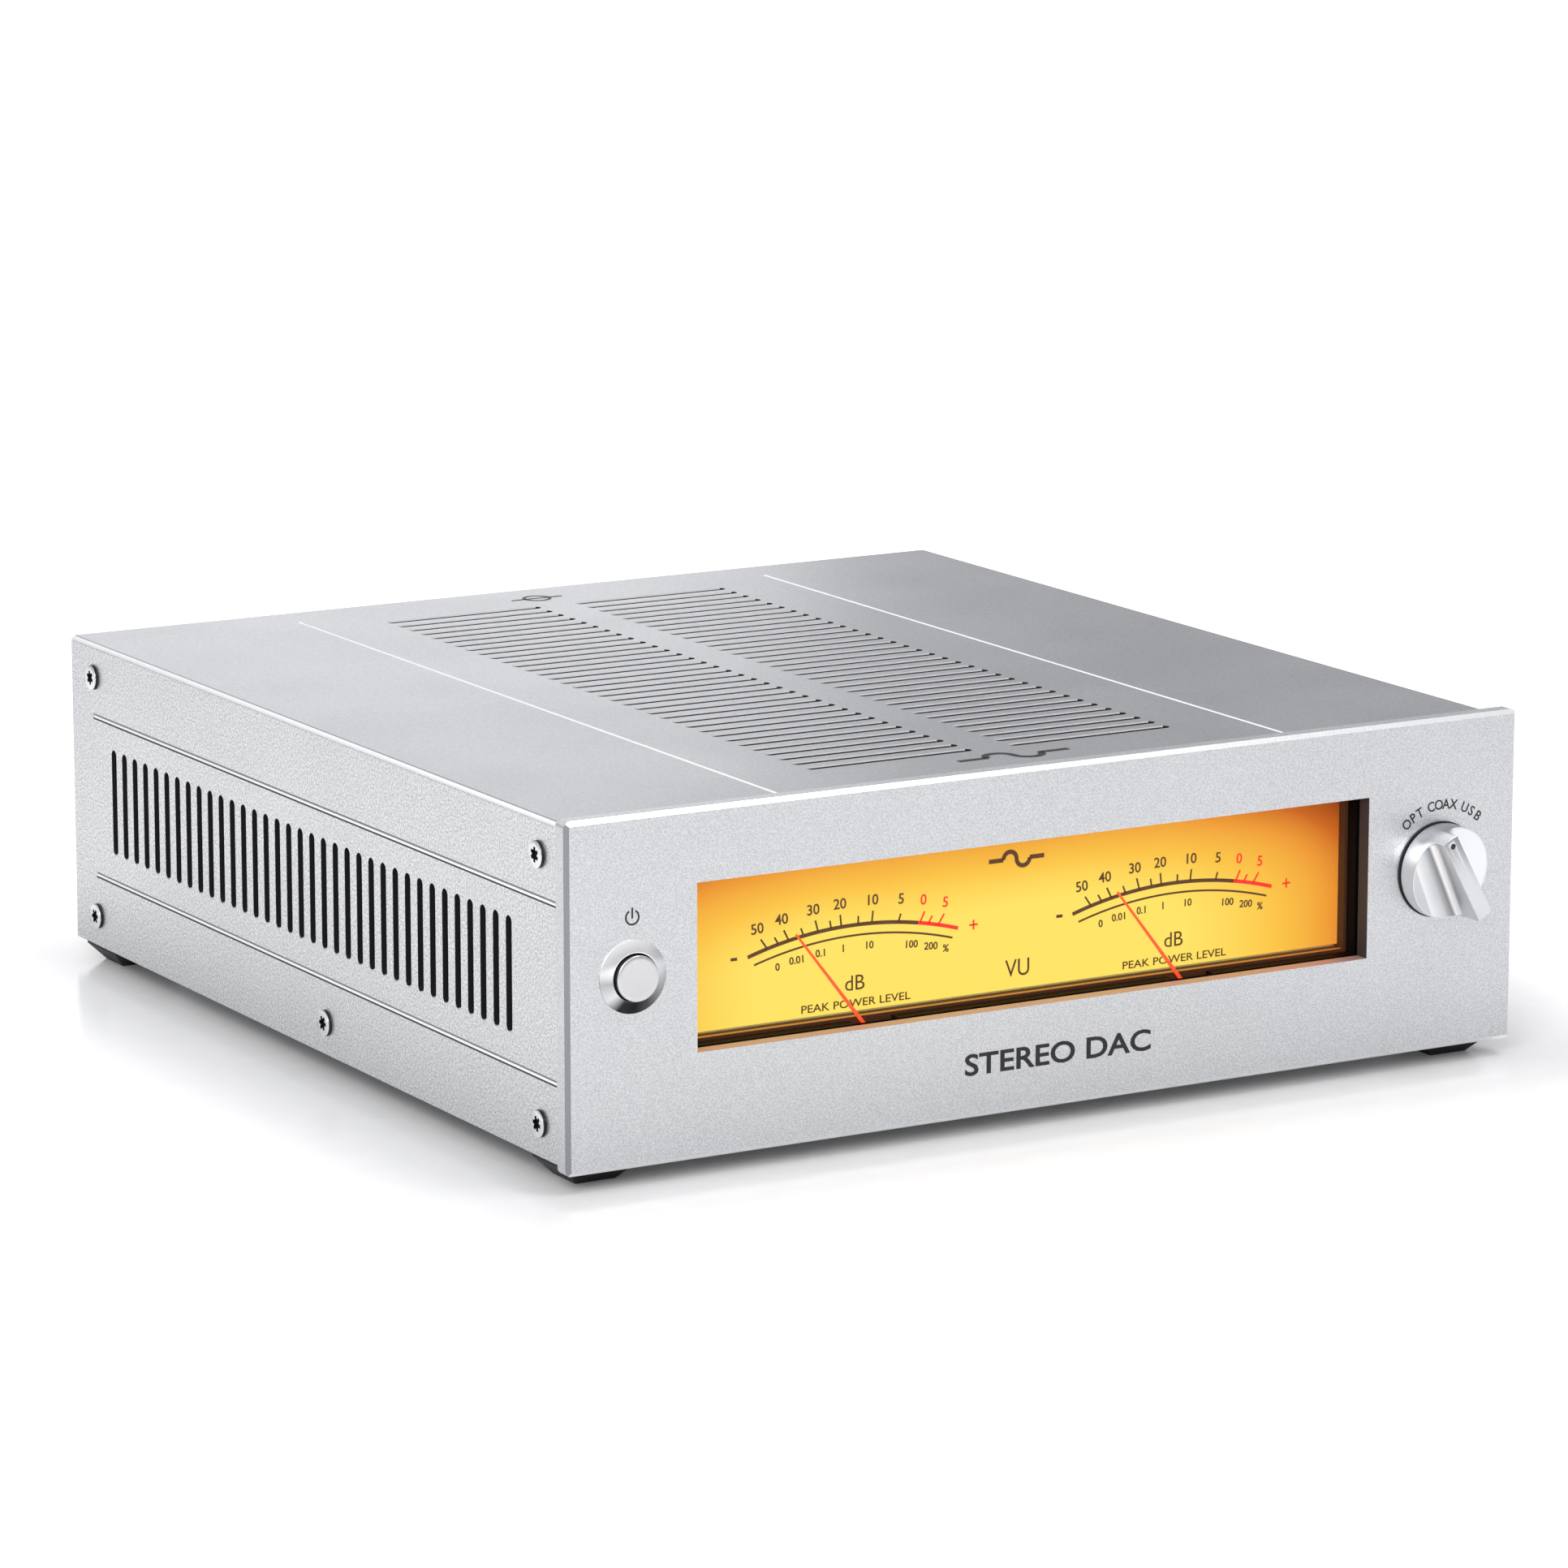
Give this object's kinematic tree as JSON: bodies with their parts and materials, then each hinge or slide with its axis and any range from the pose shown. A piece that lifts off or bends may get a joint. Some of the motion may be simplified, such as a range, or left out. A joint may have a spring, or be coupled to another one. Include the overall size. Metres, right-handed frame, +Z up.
{
  "type": "desktop digital-to-analogue converter",
  "caption": "Silver desktop audio converter with a wide backlit level-meter window, swinging needles, a push button, a turning input selector, vented cover and rear sockets.",
  "frame": {"origin": "middle of the footprint, on the surface the feet stand on", "axes": "+Z up, +X to the right seen from the front, front panel towards -Y"},
  "size_m": [0.245, 0.2764, 0.0808],
  "materials": {
    "blasted_silver": "bead-blasted anodised",
    "brushed_silver": "fine-blasted anodised sheet",
    "rear_silver": "satin anodised",
    "bare_aluminium": "plain sheet",
    "screw_steel": "zinc plated",
    "black_steel": "black oxide",
    "foot_black": "satin moulded",
    "clear_acrylic": "clear polished",
    "frame_black": "matt moulded",
    "amber_wall": "translucent amber",
    "dial_print": "printed translucent film",
    "opal": "opal sheet",
    "board_green": "solder resist",
    "led": "warm light emitting",
    "movement_grey": "turned",
    "black_plastic": "moulded nylon",
    "needle_red": "fluorescent paint",
    "polished_steel": "polished",
    "button_white": "light anodised",
    "knob_silver": "satin anodised",
    "fuse_glass": "glass tube",
    "slider_red": "moulded",
    "shell_steel": "nickel plated",
    "gold": "gold plated",
    "insulator_white": "moulded",
    "ladder_blue": "solder resist",
    "tube_glass": "blown glass",
    "can_blue": "printed sleeve",
    "wound_dark": "wrapped film"
  },
  "bodies": {
    "chassis": {"front_panel": "blasted_silver", "front_bracket": "bare_aluminium", "panel_screws": "black_steel", "top_cover": "brushed_silver", "cover_screws_left": "screw_steel", "cover_screws_right": "screw_steel", "cover_nuts": "screw_steel", "base_tray": "bare_aluminium", "tray_screws": "black_steel", "foot_front_left": "foot_black", "foot_front_right": "foot_black", "foot_rear_left": "foot_black", "foot_rear_right": "foot_black", "foot_screws": "black_steel", "window_lens": "clear_acrylic", "meter_frame": "frame_black", "light_box": "amber_wall", "dial_plate": "dial_print", "diffuser": "opal", "meter_board": "board_green", "backlight_leds": "led", "meter_screws": "black_steel", "movement_left": "movement_grey", "movement_right": "movement_grey", "movement_covers": "black_plastic", "power_bezel": "polished_steel", "power_nut": "screw_steel", "power_switch": "black_plastic", "selector_nut": "screw_steel", "rotary_switch": "black_plastic", "selector_board": "board_green", "rear_panel": "rear_silver", "mains_inlet": "black_plastic", "voltage_switch": "black_plastic", "usb_socket": "shell_steel", "optical_socket": "black_plastic", "phono_jacks": "gold", "jack_insulators": "insulator_white", "balanced_sockets": "black_plastic", "balanced_pins": "gold", "socket_screws": "black_steel", "main_board": "board_green", "supply_board": "board_green", "standoffs": "gold", "board_screws": "screw_steel", "ladder_modules": "ladder_blue", "main_chips": "black_plastic", "tubes": "tube_glass", "capacitors": "can_blue", "transformer": "wound_dark", "transformer_bolt": "screw_steel"},
    "power_button": {"power_cap": "button_white"},
    "selector": {"selector_knob": "knob_silver", "selector_shaft": "polished_steel"},
    "needle_l": {"needle_left": "needle_red"},
    "needle_r": {"needle_right": "needle_red"},
    "fuse_carrier": {"fuse_drawer": "black_plastic", "fuse": "fuse_glass"},
    "voltage_key": {"voltage_slider": "slider_red"},
    "shutter": {"optical_shutter": "black_plastic"}
  },
  "joints": [
    {"name": "power_press", "type": "slide", "parent": "chassis", "child": "power_button", "axis": [0, 1, 0], "range_m": [0, 0.0015], "stiffness_N_per_m": 1500, "springref_m": -0.0008},
    {"name": "selector_turn", "type": "hinge", "parent": "chassis", "child": "selector", "pos_m": [0.1012, -0.12655, 0.046], "axis": [0, 1, 0], "range_deg": [0, 57]},
    {"name": "needle_left_swing", "type": "hinge", "parent": "chassis", "child": "needle_l", "pos_m": [-0.04345, -0.12055, 0.0235], "axis": [0, 1, 0], "range_deg": [-12, 80], "stiffness_Nm_per_rad": 0.002},
    {"name": "needle_right_swing", "type": "hinge", "parent": "chassis", "child": "needle_r", "pos_m": [0.03865, -0.12055, 0.0235], "axis": [0, 1, 0], "range_deg": [-12, 80], "stiffness_Nm_per_rad": 0.002},
    {"name": "fuse_drawer_slide", "type": "slide", "parent": "chassis", "child": "fuse_carrier", "axis": [0, 1, 0], "range_m": [0, 0.014]},
    {"name": "voltage_slide", "type": "slide", "parent": "chassis", "child": "voltage_key", "axis": [0, 0, 1], "range_m": [0, 0.0058]},
    {"name": "shutter_swing", "type": "hinge", "parent": "chassis", "child": "shutter", "pos_m": [0.006, 0.12765, 0.04355], "axis": [-1, 0, 0], "range_deg": [0, 80], "stiffness_Nm_per_rad": 0.0005, "springref_deg": -20.05}
  ]
}
